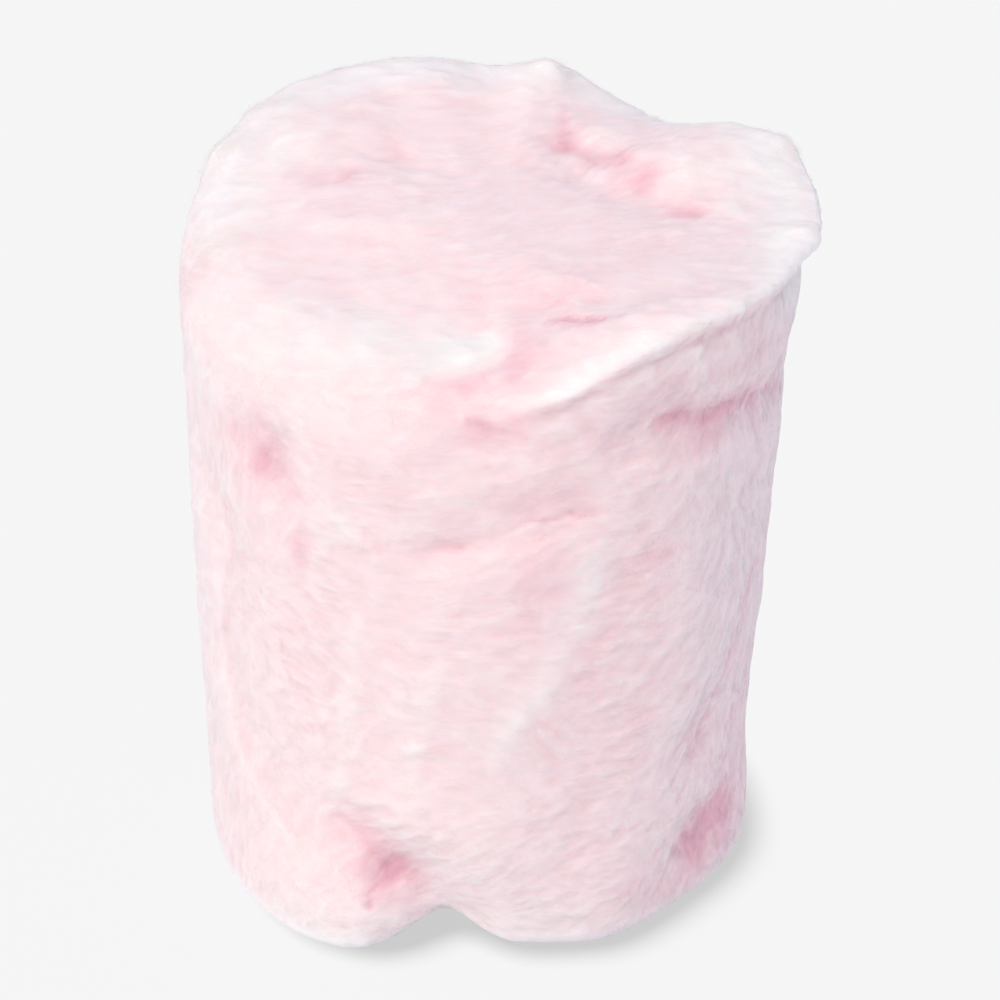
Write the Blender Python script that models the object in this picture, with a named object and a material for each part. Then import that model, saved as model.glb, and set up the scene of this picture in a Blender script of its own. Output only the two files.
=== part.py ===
"""A block of pink cotton candy, as it stands when its tapered tub has been pulled off.

Metres, +Z up.  The origin is on the floor, under the middle of the block's box.  The front
faces -Y.  An azimuth is an angle about +Z, in degrees, from 0 at the front to +90 at the right
(+X).  The tables below are in millimetres and degrees.

The block is one lofted solid.  Closed rings climb from the flat foot, up the wall that the tub
moulded, over the rim and in across the torn top.  On the right the rim is a thin lip that
hangs out over the wall, and elsewhere it is a round shoulder.  Named pits, swellings and
creases then push the surface in and out.
"""

import math

import bmesh
import bpy
import numpy as np

MM = 0.001

# ---- Driving sizes -------------------------------------------------------------------------
TUB_TOP_RADIUS = 56.2
TUB_BOTTOM_RADIUS = 51.0
TUB_HEIGHT = 131.0
TUB_LEAN = 1.3  # the axis stands this far to the right at the top, and to the left below
FOOT_ROUNDING = 2.2
FOOT_FLAT_SHARE = 0.62  # of the foot's radius, inside which the foot is a flat disc
SWELL_HEIGHT = 38.0  # from the foot or the rim, within which its own outline shows in the wall

# ---- How finely the block is faceted -------------------------------------------------------
AZIMUTH_STEPS = 90
FOOT_STEPS = 3
WALL_STEPS = 29
TOP_STEPS = 9

# ---- Outlines round the block: (azimuth, value) ---------------------------------------------
# How far the foot stands out from the tub's circle: two front lobes beside a notch.
FOOT_SWELL = [
    (-180, 0.0), (-120, -0.5), (-85, 0.4), (-66, 1.8), (-48, 3.0), (-34, 3.2), (-24, 1.0),
    (-16, -5.0), (-8, -9.5), (-1, -7.6), (6, -4.6), (16, -3.0), (27, -0.6), (45, -0.6),
    (62, 0.6), (76, 1.6), (95, 0.6), (130, -0.6),
]
# How far the wall stands out from the tub's circle where it meets the rim.
RIM_SWELL = [
    (-180, 0.6), (-160, 2.2), (-136, 3.0), (-112, 1.2), (-90, 0.6), (-60, 0.4), (-20, 0.0),
    (40, 0.0), (95, 0.4), (130, 0.6), (150, 0.6),
]
# How far the foot's edge is lifted off the floor, which it only is in the notch.
FOOT_LIFT = [
    (-180, 0.0), (-40, 0.0), (-25, 0.0), (-17, 2.0), (-9, 6.0), (-2, 4.0), (5, 1.4), (14, 0.4),
    (26, 0.0), (60, 0.0),
]
# The rim's height over the tub's own rim.
RIM_RISE = [
    (-180, 3.4), (-165, 5.6), (-150, 5.0), (-135, 5.2), (-119, 3.8), (-104, 0.8), (-85, -1.6),
    (-60, -3.6), (-35, -4.0), (-18, -4.5), (-4, -5.5), (8, -4.5), (17, -0.4), (28, 4.0),
    (42, 4.8), (58, 3.8), (75, 2.0), (92, 0.8), (105, 1.0), (118, 2.6), (128, 1.0), (138, -2.0),
    (147, -2.0), (156, 0.6), (166, 4.8),
]
# How far the lip hangs out over the wall.
LIP_REACH = [
    (-180, 0.0), (-10, 0.0), (2, 0.8), (9, 2.6), (16, 1.8), (30, 2.2), (50, 2.2), (75, 2.2),
    (94, 3.8), (110, 4.0), (122, 2.6), (134, 0.6), (150, 0.0),
]
# How much of the rim is a thin lip, from 0 for a plain round shoulder to 1.
LIP_SHARE = [
    (-180, 0.0), (-20, 0.0), (-4, 0.0), (6, 0.7), (14, 1.0), (30, 1.0), (60, 1.0), (95, 1.0),
    (114, 1.0), (130, 0.3), (142, 0.0), (160, 0.0),
]
# The shoulder's rounding where there is no lip.
SHOULDER = [
    (-180, 7.0), (-140, 7.0), (-110, 9.0), (-80, 12.0), (-45, 16.0), (-15, 13.0), (10, 9.0),
    (60, 6.0), (140, 7.0),
]

# The lip's section from the wall, through the undercut and round the edge: a share of the
# lip's reach and an offset, both outward from the tub's wall, and a height from the rim.
LIP_SECTION = [
    (0.0, -0.2, -9.0), (0.0, -1.0, -6.2), (0.0, -1.2, -4.4), (0.45, -0.6, -3.5),
    (0.92, -0.4, -3.2), (1.0, 0.0, -2.0), (0.95, -0.5, -0.9), (0.55, -1.8, -0.2),
]

# ---- Pits and swellings on the wall: azimuth, height, half width, half height, push out -----
WALL_SHAPES = {
    "left dimple": (-45, 105, 7.0, 8.5, -5.0),
    "hollow beside the left dimple": (-60, 112, 5.0, 8.0, -1.2),
    "tongue": (-17, 125, 13.0, 4.6, 2.6),
    "hollow under the tongue": (-1, 115, 9.0, 6.0, -3.4),
    "hollow over the front crease": (6, 104, 14.0, 4.5, -1.4),
    "roll under the lip": (58, 117, 22.0, 5.0, 1.2),
    "left sheet": (-76, 62, 12.0, 42.0, 0.9),
    "front sheet": (4, 68, 24.0, 26.0, 0.9),
    "left lobe over the foot": (-40, 13, 15.0, 9.0, 1.4),
    "right lobe over the foot": (22, 16, 17.0, 11.0, 1.4),
    "front pocket": (-15, 21, 7.5, 7.5, -6.0),
    "front pocket's upper run": (-28, 29, 9.0, 4.5, -2.4),
    "right pocket": (54, 16, 7.0, 5.5, -4.4),
    "right hollow": (48, 41, 5.5, 8.0, -2.4),
    "right rear pocket": (118, 76, 6.0, 9.0, -3.0),
    "back dent": (168, 58, 22.0, 26.0, -2.4),
    "back sheet": (-170, 104, 24.0, 18.0, 1.2),
    "back pocket": (-152, 88, 7.0, 8.0, -3.4),
    "back foot pocket": (-124, 14, 8.0, 6.0, -3.4),
}

# ---- Swellings on the top: x, y, half width along x, half width along y, push up ------------
TOP_SHAPES = {
    "right lobe": (43, 18, 14.0, 15.0, 2.6),
    "small lobe behind the valley": (25, 33, 7.0, 7.0, 2.4),
    "crown": (-12, 6, 26.0, 20.0, 1.4),
    "back crest": (-20, 44, 20.0, 8.0, 0.8),
    "sheet between slit and lip": (32, -38, 18.0, 8.0, 1.0),
}

# ---- Creases: depth, half width, and the height of the overlapping lip on the route's left --
# A route's points are (azimuth, height) on the wall and (x, y) on the top.
WALL_CREASES = {
    "front crease": (2.0, 4.4, 0.8, [(23, 99), (11, 101), (4, 99), (-4, 96), (-14, 92)]),
    "slit under the roll": (3.4, 5.0, 0.8,
                            [(84, 104), (66, 107), (48, 112), (34, 115), (22, 117)]),
    "left fold": (1.4, 4.6, 0.9,
                  [(-42, 28), (-54, 38), (-62, 52), (-57, 70), (-59, 79), (-68, 97)]),
    "right fold": (1.8, 4.4, 0.8, [(49, 40), (55, 50), (62, 58), (70, 70)]),
    "sheet over the left lobe": (2.6, 5.0, 0.8, [(-8, 10), (-12, 17), (-19, 25), (-30, 33)]),
    "left side fold": (1.4, 4.6, 0.9, [(-96, 22), (-104, 48), (-98, 74), (-106, 100)]),
    "back fold": (1.6, 4.6, 1.0, [(-172, 30), (-158, 52), (-154, 78), (-160, 104)]),
    "back cross fold": (1.5, 4.6, 1.0, [(176, 99), (166, 93), (146, 96), (128, 88)]),
}
TOP_CREASES = {
    "valley": (4.8, 6.0, 0.4, [(17, 29), (20, 17), (26, 9), (32, 5), (41, -5)]),
    "slit behind the lip": (2.0, 5.0, 0.8, [(36, -33), (24, -36), (14, -33), (6, -26)]),
    "top fold": (1.6, 5.0, 0.7, [(-35, 13), (-22, 18), (-12, 20)]),
    "top curl": (1.2, 4.6, 0.7, [(-24, -8), (-17, -13), (-9, -12)]),
}


def smooth(share):
    """Eases from 0 to 1 as share does, flat at both ends."""
    share = np.clip(share, 0.0, 1.0)
    return share * share * (3.0 - 2.0 * share)


def round_the_block(outline, azimuths):
    """An outline's value at each azimuth, on a smooth closed curve through its points."""
    at, value = np.array(outline, float).T
    at = np.concatenate([at[-2:] - 360.0, at, at[:2] + 360.0])
    value = np.concatenate([value[-2:], value, value[:2]])
    slope = np.gradient(value, at)
    index = np.searchsorted(at, azimuths, side="right") - 1
    gap = at[index + 1] - at[index]
    share = (azimuths - at[index]) / gap
    rest = 1.0 - share
    before = value[index] * (1.0 + 2.0 * share) + slope[index] * gap * share
    after = value[index + 1] * (1.0 + 2.0 * rest) - slope[index + 1] * gap * rest
    return before * rest * rest + after * share * share


def tub_radius(height):
    return TUB_BOTTOM_RADIUS + (TUB_TOP_RADIUS - TUB_BOTTOM_RADIUS) * height / TUB_HEIGHT


def sections(azimuths):
    """Radius and height of every ring, one column for each azimuth, from the foot inward."""
    foot_swell = round_the_block(FOOT_SWELL, azimuths)
    rim_swell = round_the_block(RIM_SWELL, azimuths)
    lift = np.maximum(round_the_block(FOOT_LIFT, azimuths), 0.0)
    rim = TUB_HEIGHT + round_the_block(RIM_RISE, azimuths)
    reach = np.maximum(round_the_block(LIP_REACH, azimuths), 0.0)
    lip_share = np.clip(round_the_block(LIP_SHARE, azimuths), 0.0, 1.0)
    shoulder = round_the_block(SHOULDER, azimuths)

    def wall_radius(height):
        near_foot = 1.0 - smooth(height / SWELL_HEIGHT)
        near_rim = smooth((height - TUB_HEIGHT + SWELL_HEIGHT) / SWELL_HEIGHT)
        return tub_radius(height) + foot_swell * near_foot + rim_swell * near_rim

    foot_radius = wall_radius(0.0)
    rings = [(foot_radius * FOOT_FLAT_SHARE, np.zeros_like(foot_radius))]
    for step in range(FOOT_STEPS + 1):
        turn = 0.5 * math.pi * step / FOOT_STEPS
        radius = foot_radius - FOOT_ROUNDING * (1.0 - math.sin(turn))
        rings.append((radius, lift + FOOT_ROUNDING * (1.0 - math.cos(turn))))

    wall_foot = lift + FOOT_ROUNDING
    wall_top = rim - (1.0 - lip_share) * shoulder + lip_share * LIP_SECTION[0][2]
    for step in range(1, WALL_STEPS):
        height = wall_foot + (wall_top - wall_foot) * step / WALL_STEPS
        rings.append((wall_radius(height), height))

    for step, (share, offset, rise) in enumerate(LIP_SECTION):
        turn = 0.5 * math.pi * step / (len(LIP_SECTION) - 1)
        round_radius = wall_radius(wall_top) - shoulder * (1.0 - math.cos(turn))
        round_height = rim - shoulder * (1.0 - math.sin(turn))
        lip_radius = wall_radius(rim) + share * reach + offset
        radius = round_radius + (lip_radius - round_radius) * lip_share
        rings.append((radius, round_height + (rim + rise - round_height) * lip_share))

    edge_radius, edge_height = rings[-1]
    for step in range(1, TOP_STEPS):
        inward = step / TOP_STEPS
        height = edge_height + (TUB_HEIGHT - edge_height) * smooth(inward * 1.25)
        rings.append((edge_radius * (1.0 - inward), height))
    return np.array([ring[0] for ring in rings]), np.array([ring[1] for ring in rings])


def unrolled(azimuths, heights):
    """Where places on the wall lie when it is unrolled flat."""
    return np.stack([np.radians(azimuths) * tub_radius(heights), heights], axis=-1)


def bumps(places, centre, half_widths, push):
    """A round bump that fades to nothing by about two half widths."""
    gap = (places - centre) / half_widths
    return push * np.exp(-1.4 * (gap * gap).sum(axis=-1))


def crease(places, route, depth, width, lip):
    """A groove along a route, with an overlapping lip on the route's left."""
    nearest = np.full(places.shape[:-1], np.inf)
    on_left = np.zeros_like(nearest)
    fade = np.zeros_like(nearest)
    for index, (start, end) in enumerate(zip(route, route[1:])):
        run = end - start
        share = np.clip(((places - start) @ run) / (run @ run), 0.0, 1.0)
        off = places - start - run * share[..., None]
        gap = np.linalg.norm(off, axis=-1)
        closer = gap < nearest
        nearest = np.where(closer, gap, nearest)
        side = (run[0] * off[..., 1] - run[1] * off[..., 0]) / np.linalg.norm(run)
        on_left = np.where(closer, smooth(side / width), on_left)
        along = (index + share) / (len(route) - 1)
        fade = np.where(closer, smooth(5.0 * along + 0.2) * smooth(5.2 - 5.0 * along), fade)
    groove = depth * np.exp(-((nearest / width) ** 2))
    raised = lip * on_left * np.exp(-(((nearest - 1.6 * width) / (1.2 * width)) ** 2))
    return (raised - groove) * fade


def wall_push(azimuths, heights):
    """How far the wall's own shapes move it outward."""
    pushed = np.zeros_like(heights)
    for turn in (-360.0, 0.0, 360.0):
        places = unrolled(azimuths + turn, heights)
        for azimuth, height, half_width, half_height, push in WALL_SHAPES.values():
            pushed += bumps(places, unrolled(azimuth, height), (half_width, half_height), push)
        for depth, width, lip, points in WALL_CREASES.values():
            route = [unrolled(*point) for point in points]
            pushed += crease(places, route, depth, width, lip)
    return pushed


def top_push(places):
    """How far the top's own shapes move it upward."""
    pushed = np.zeros(places.shape[:-1])
    for x, y, half_x, half_y, push in TOP_SHAPES.values():
        pushed += bumps(places, (x, y), (half_x, half_y), push)
    for depth, width, lip, points in TOP_CREASES.values():
        pushed += crease(places, np.array(points, float), depth, width, lip)
    return pushed


def block_rings():
    """The points of every ring, as an array of rings by azimuths by x, y and z."""
    azimuths = -180.0 + 360.0 * np.arange(AZIMUTH_STEPS) / AZIMUTH_STEPS
    radius, height = sections(azimuths)
    around = np.broadcast_to(azimuths, radius.shape)
    run_out, run_up = np.gradient(radius, axis=0), np.gradient(height, axis=0)
    length = np.hypot(run_out, run_up)
    facing_out, facing_up = run_up / length, -run_out / length

    off_the_foot = smooth((height - 0.3 * FOOT_ROUNDING) / (2.5 * FOOT_ROUNDING))
    radius = radius + wall_push(around, height) * np.clip(facing_out, 0.0, 1.0) * off_the_foot
    drift = TUB_LEAN * (2.0 * height / TUB_HEIGHT - 1.0)
    turn = np.radians(around)
    x, y = radius * np.sin(turn) + drift, -radius * np.cos(turn)
    on_top = smooth(1.5 * facing_up - 0.2)
    return np.stack([x, y, height + top_push(np.stack([x, y], axis=-1)) * on_top], axis=-1)


def block_mesh():
    """The rings joined by faces, with a flat disc under the foot and a fan at the middle."""
    points = block_rings()
    low, high = points.min(axis=(0, 1)), points.max(axis=(0, 1))
    points = (points - ((low[0] + high[0]) / 2, (low[1] + high[1]) / 2, low[2])) * MM

    mesh = bmesh.new()
    loops = [[mesh.verts.new(point) for point in ring] for ring in points]
    for lower, upper in zip(loops, loops[1:]):
        for index in range(AZIMUTH_STEPS):
            after = (index + 1) % AZIMUTH_STEPS
            mesh.faces.new((lower[index], lower[after], upper[after], upper[index]))
    mesh.faces.new(list(reversed(loops[0])))
    middle = mesh.verts.new(points[-1].mean(axis=0))
    for index in range(AZIMUTH_STEPS):
        mesh.faces.new((loops[-1][index], loops[-1][(index + 1) % AZIMUTH_STEPS], middle))
    bmesh.ops.recalc_face_normals(mesh, faces=mesh.faces)
    return mesh


def floss_material():
    material = bpy.data.materials.new("pink floss")
    material.use_nodes = True
    shader = material.node_tree.nodes["Principled BSDF"]
    shader.inputs["Base Color"].default_value = (0.95, 0.74, 0.78, 1.0)
    shader.inputs["Roughness"].default_value = 0.95
    shader.inputs["Metallic"].default_value = 0.0
    return material


def make_candy():
    mesh = block_mesh()
    data = bpy.data.meshes.new("cotton_candy")
    mesh.to_mesh(data)
    mesh.free()
    data.materials.append(floss_material())
    data.shade_smooth()
    data.set_sharp_from_angle(angle=math.radians(60.0))
    candy = bpy.data.objects.new("cotton_candy", data)
    bpy.context.scene.collection.objects.link(candy)


for old in list(bpy.data.objects):
    bpy.data.objects.remove(old)
make_candy()
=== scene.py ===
"""The looks of a block of pink cotton candy that stands as its tub left it.

Lengths are in millimetres until a mesh is made, and metres in Blender.  The front faces -Y,
and an azimuth is an angle about +Z, in degrees, from 0 at the front to +90 at the right.
"""
import math

import bmesh
import bpy
import numpy as np
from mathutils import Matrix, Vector
from mathutils.bvhtree import BVHTree


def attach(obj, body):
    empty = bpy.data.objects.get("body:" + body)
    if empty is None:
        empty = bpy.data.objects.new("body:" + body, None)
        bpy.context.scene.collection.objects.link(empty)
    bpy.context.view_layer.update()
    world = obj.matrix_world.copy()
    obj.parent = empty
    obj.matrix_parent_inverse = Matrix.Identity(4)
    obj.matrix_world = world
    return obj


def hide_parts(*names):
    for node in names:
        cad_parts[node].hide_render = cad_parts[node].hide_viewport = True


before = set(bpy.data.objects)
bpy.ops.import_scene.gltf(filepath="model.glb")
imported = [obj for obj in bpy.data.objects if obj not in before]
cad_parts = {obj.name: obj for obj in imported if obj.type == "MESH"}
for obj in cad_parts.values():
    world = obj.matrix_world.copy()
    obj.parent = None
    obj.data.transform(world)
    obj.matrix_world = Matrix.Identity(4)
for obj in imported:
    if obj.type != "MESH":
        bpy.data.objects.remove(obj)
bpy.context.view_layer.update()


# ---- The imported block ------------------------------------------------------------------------
# Spun sugar, pressed into a tub until its fibres felted into one springy mass, then turned out.
# The tub moulded the wall, the top tore where the lid came off, and sheets of floss overlap.
MM = 0.001
UP = np.array([0.0, 0.0, 1.0])
VOXEL = 0.8
FELTING_ROUNDS = 5
FOOT_SKIN = 0.4  # below this height the block lies flat on the table
FOOT_FREE = 3.4  # and above this one it is free to swell
WALL_SEARCH = 90.0  # a ray comes in from this far out to find the wall
TOP_SEARCH = 300.0  # and down from this height to find the top

# One part stands out far enough to be a solid of its own before the felting: the tongue, a finger
# of floss that points right across the front of the top.  Its route runs from root to tip.
TONGUE_ROUTE = [(-30, -41), (-22, -42), (-14, -42), (-8, -40.5), (-3.5, -39.5)]
TONGUE_ROOT_SINK, TONGUE_TIP_SINK = 4.0, 0.8
TONGUE_HALF_WIDTH, TONGUE_NARROWING = 6.5, 2.0
TONGUE_HALF_DEPTH, TONGUE_THINNING = 2.8, 1.0
TONGUE_SIDES = 12


def eased(values, start, stop):
    """Rises smoothly from 0, where values reach start, to 1, where they reach stop."""
    share = np.clip((values - start) / (stop - start), 0.0, 1.0)
    return share * share * (3.0 - 2.0 * share)


def bell(offset, width):
    """1 where the offset is nothing, and about a third at one width."""
    return np.exp(-((offset / width) ** 2))


def wander(places, spacing, seed):
    """Smooth random values from -1 to 1, which change over about the given spacing."""
    cells = 32
    start = 500.0  # where in the lattice the object's centre falls
    lattice = np.random.default_rng(seed).uniform(-1.0, 1.0, (cells, cells, cells))
    scaled = places / spacing + start
    corner = np.floor(scaled).astype(int)
    share = eased(scaled - corner, 0.0, 1.0)
    total = np.zeros(len(places))
    for step in np.ndindex(2, 2, 2):
        weight = np.where(step, share, 1.0 - share).prod(axis=1)
        total += weight * lattice[tuple(((corner + step) % cells).T)]
    return total


def unit(vectors):
    return vectors / (np.linalg.norm(vectors, axis=-1, keepdims=True) + 1e-9)


def rounded(route, rounds=3):
    """Cuts a route's corners until it runs as a curve."""
    route = np.asarray(route, float)
    for _ in range(rounds):
        nearer = 0.75 * route[:-1] + 0.25 * route[1:]
        farther = 0.25 * route[:-1] + 0.75 * route[1:]
        cut = np.stack([nearer, farther], axis=1).reshape(-1, route.shape[1])
        route = np.concatenate([route[:1], cut, route[-1:]])
    return route


def solid_mesh(name, points, faces):
    """A mesh object from points in millimetres."""
    data = bpy.data.meshes.new(name)
    data.from_pydata((points * MM).tolist(), [], faces.tolist())
    data.shade_smooth()
    piece = bpy.data.objects.new(name, data)
    bpy.context.scene.collection.objects.link(piece)
    return piece


def mesh_points(piece):
    points = np.empty(len(piece.data.vertices) * 3, np.float32)
    piece.data.vertices.foreach_get("co", points)
    return points.reshape(-1, 3).astype(float) / MM


def mesh_normals(piece):
    normals = np.empty(len(piece.data.vertices) * 3, np.float32)
    piece.data.vertex_normals.foreach_get("vector", normals)
    return normals.reshape(-1, 3).astype(float)


def place_points(piece, points):
    piece.data.vertices.foreach_set("co", (points * MM).astype(np.float32).ravel())
    piece.data.update()


def store(piece, name, values):
    """Keeps a number or a vector for each point of a mesh, for its material to read."""
    kind, field = ("FLOAT", "value") if values.ndim == 1 else ("FLOAT_VECTOR", "vector")
    layer = piece.data.attributes.new(name, kind, "POINT")
    layer.data.foreach_set(field, values.astype(np.float32).ravel())


def relaxed(values, pairs, rounds, weights=None):
    """Values averaged over neighbouring points, a number of times."""
    weights = np.ones(len(pairs)) if weights is None else weights
    size = len(values)
    columns = values.reshape(size, -1)
    share = np.bincount(pairs[:, 0], weights, size) + np.bincount(pairs[:, 1], weights, size) + 1e-9
    for _ in range(rounds):
        around = [np.bincount(pairs[:, 0], weights * column[pairs[:, 1]], size)
                  + np.bincount(pairs[:, 1], weights * column[pairs[:, 0]], size)
                  for column in columns.T]
        columns = 0.5 * columns + 0.5 * np.stack(around, axis=1) / share[:, None]
    return columns.reshape(values.shape)


def skin_of(points, faces):
    return BVHTree.FromPolygons(points.tolist(), faces.tolist())


def on_wall(skin, azimuth, height):
    """The block's surface and normal at an azimuth and a height."""
    turn = math.radians(azimuth)
    away = Vector((math.sin(turn), -math.cos(turn), 0.0))
    place, normal = skin.ray_cast(Vector((0.0, 0.0, height)) + WALL_SEARCH * away, -away)[:2]
    return np.array(place), np.array(normal)


def on_top(skin, x, y):
    """The block's surface and normal straight below a point over the top."""
    place, normal = skin.ray_cast(Vector((x, y, TOP_SEARCH)), Vector((0.0, 0.0, -1.0)))[:2]
    return np.array(place), np.array(normal)


def finger(route, half_widths, half_depths):
    """A closed rope of oval section along a route: wide across it, and flat."""
    run = unit(np.gradient(route, axis=0))
    across = unit(np.cross(UP, run))
    rise = np.cross(run, across)
    turns = 2.0 * math.pi * np.arange(TONGUE_SIDES) / TONGUE_SIDES
    ovals = (route[:, None, :]
             + np.cos(turns)[:, None] * (across * half_widths[:, None])[:, None, :]
             + np.sin(turns)[:, None] * (rise * half_depths[:, None])[:, None, :])
    count = len(route)
    points = np.concatenate([ovals.reshape(-1, 3), route[:1], route[-1:]])
    last_oval = TONGUE_SIDES * (count - 1)
    first_end, last_end = len(points) - 2, len(points) - 1
    faces = []
    for side in range(TONGUE_SIDES):
        after = (side + 1) % TONGUE_SIDES
        faces.append((first_end, after, side))
        faces.append((last_end, last_oval + side, last_oval + after))
        for low in range(0, last_oval, TONGUE_SIDES):
            high = low + TONGUE_SIDES
            faces.append((low + side, low + after, high + after))
            faces.append((low + side, high + after, high + side))
    return points, np.array(faces)


cad_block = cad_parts["cotton_candy"]
shell = bmesh.new()
shell.from_mesh(cad_block.data)
bmesh.ops.remove_doubles(shell, verts=shell.verts, dist=1e-6)
bmesh.ops.triangulate(shell, faces=shell.faces)
points = np.array([vertex.co[:] for vertex in shell.verts]) / MM
faces = np.array([[corner.index for corner in face.verts] for face in shell.faces])
shell.free()
tub_skin = skin_of(points, faces)

tongue = rounded([on_top(tub_skin, *place)[0] for place in TONGUE_ROUTE])
share = np.linspace(0.0, 1.0, len(tongue))
ends = np.sqrt(np.clip(1.0 - (2.0 * share - 1.0) ** 6, 0.02, 1.0))
sink = TONGUE_TIP_SINK * share + TONGUE_ROOT_SINK * (1.0 - share)
finger_points, finger_faces = finger(tongue - np.outer(sink, UP),
                                     (TONGUE_HALF_WIDTH - TONGUE_NARROWING * share) * ends,
                                     (TONGUE_HALF_DEPTH - TONGUE_THINNING * share) * ends)
block = solid_mesh("floss_block", np.concatenate([points, finger_points]),
                   np.concatenate([faces, finger_faces + len(points)]))
remesh = block.modifiers.new("felt", "REMESH")
remesh.mode = "VOXEL"
remesh.voxel_size = VOXEL * MM
felted = bpy.data.meshes.new_from_object(block.evaluated_get(bpy.context.evaluated_depsgraph_get()))
block.modifiers.clear()
block.data = felted
block.data.shade_smooth()

corners = np.empty(len(block.data.loops), np.int32)
block.data.loops.foreach_get("vertex_index", corners)
quads = corners.reshape(-1, 4)
pairs = np.concatenate([quads[:, [0, 1]], quads[:, [1, 2]], quads[:, [2, 3]], quads[:, [3, 0]]])
pairs = np.unique(np.sort(pairs, axis=1), axis=0)
diagonals = np.concatenate([quads[:, [0, 2]], quads[:, [1, 3]]])

points = mesh_points(block)
standing = eased(points[:, 2], FOOT_SKIN, FOOT_FREE)
points = points + (relaxed(points, pairs, FELTING_ROUNDS) - points) * standing[:, None]

# Loose floss half fills the hollows that the tub and the tear left.  Each spot has its place, its
# half width and half height, how far the surface is drawn smooth there, and how far it is lifted
# first.  A place is (azimuth, height) on the wall and (x, y) on the top, here and below.
FILL_ROUNDS = 120
SPOT_DEPTH = 12.0  # a spot on one side of the block leaves the other side alone
WALL_FILLS = {
    "dimple": [(-47, 104, 12, 13, 1.0, 1.2)],
    "recess by the lip": [(-1, 116, 10, 7, 0.8, 0.0)],
    "front crease": [(4, 103, 18, 9, 0.95, 0.5), (20, 101, 10, 7, 0.9, 0.4), (0, 88, 26, 10, 0.6, 0.0)],
    "front pleat": [(18, 78, 11, 22, 0.7, 0.0)],
    "slit under the roll": [(30, 116.5, 9, 6, 1.0, 1.2), (46, 112.5, 10, 6, 0.9, 1.3),
                            (62, 109, 10, 6, 0.8, 1.1), (80, 103, 10, 8, 0.6, 0.0)],
    "notch": [(-22, 21, 9, 8, 0.85, 3.4), (-31, 29, 8, 6, 0.95, 0.5), (-12, 19, 9, 8, 0.8, 2.2)],
    "low right pit": [(54, 15, 8, 7, 0.8, 0.7)],
    "right fold": [(47, 40, 8, 9, 0.9, 0.3), (55, 49, 8, 9, 0.9, 0.4), (62, 59, 8, 9, 0.9, 0.3)],
    "left sheet": [(-60, 76, 8, 12, 0.8, 0.2), (-62, 54, 8, 12, 0.8, 0.2), (-55, 35, 8, 10, 0.7, 0.2),
                   (-42, 56, 6, 10, 0.6, 0.0)],
    "under the lip": [(12, 122, 9, 4, 0.8, 0.0), (24, 126, 10, 4, 0.8, 0.0), (37, 129, 12, 4, 0.75, 0.0),
                      (50, 129, 12, 4, 0.7, 0.0), (64, 128, 10, 4, 0.6, 0.0)],
    "full front wall": [(38, 70, 12, 34, 0.0, 2.2), (-5, 26, 11, 12, 0.0, 1.7)],
    "drawn-in right wall": [(88, 60, 16, 45, 0.0, -0.7), (86, 24, 12, 14, 0.0, -0.7)],
}
TOP_FILLS = {
    "valley": [(12, 33, 8, 8, 0.9, 0.3), (15, 23, 8, 8, 1.0, 2.0), (22, 13, 8, 8, 1.0, 2.2),
               (31, 3, 9, 8, 1.0, 2.2), (38, -4, 8, 7, 0.9, 0.8)],
    "beside the valley": [(37, 19, 11, 11, 0.7, -0.3)],
    "slit behind the lip": [(16, -37, 12, 5, 0.8, 0.0)],
    "top fold": [(-23, 17, 14, 6, 0.7, 0.0)],
    "top curl": [(-16, -11, 12, 5, 0.8, 0.0)],
}


def spot_at(find, skin, place, half_width, half_height, where):
    """How far each point lies in a round spot on the surface: 1 at its middle and 0 well outside."""
    centre, normal = find(skin, *place)
    sideways = np.array([1.0, 0.0, 0.0])
    if find is on_wall:
        sideways = unit(np.array([-centre[1], centre[0], 0.0]))
    upward = np.cross(normal, sideways)
    off = where - centre
    spread = (off @ sideways / half_width) ** 2 + (off @ upward / half_height) ** 2
    return np.exp(-0.9 * spread - (off @ normal / SPOT_DEPTH) ** 2)


filled = np.zeros(len(points))
lifted = np.zeros(points.shape)
for fills, find, away in ((WALL_FILLS, on_wall, unit(points * (1.0, 1.0, 0.0))),
                          (TOP_FILLS, on_top, UP[None, :])):
    for first, second, half_width, half_height, share, lift in sum(fills.values(), []):
        spot = spot_at(find, tub_skin, (first, second), half_width, half_height, points)
        filled = np.maximum(filled, share * spot)
        lifted += (lift * spot)[:, None] * away
points = points + lifted * standing[:, None]
points = points + (relaxed(points, pairs, FILL_ROUNDS) - points) * (filled * standing)[:, None]
place_points(block, points)
skin = skin_of(points, quads)


def nearest_on(route, places, facing):
    """For each place: its gap to a route, its offset to the route's left, and its share along."""
    gap = np.full(len(places), np.inf)
    left = np.zeros(len(places))
    along = np.zeros(len(places))
    for index, (start, end) in enumerate(zip(route, route[1:])):
        run = end - start
        share = np.clip(((places - start) @ run) / (run @ run), 0.0, 1.0)
        off = places - start - share[:, None] * run
        distance = np.linalg.norm(off, axis=1)
        side = (np.cross(run / np.linalg.norm(run), off) * facing).sum(axis=1)
        closer = distance < gap
        gap = np.where(closer, distance, gap)
        left = np.where(closer, side, left)
        along = np.where(closer, (index + share) / (len(route) - 1), along)
    return gap, left, along


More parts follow.
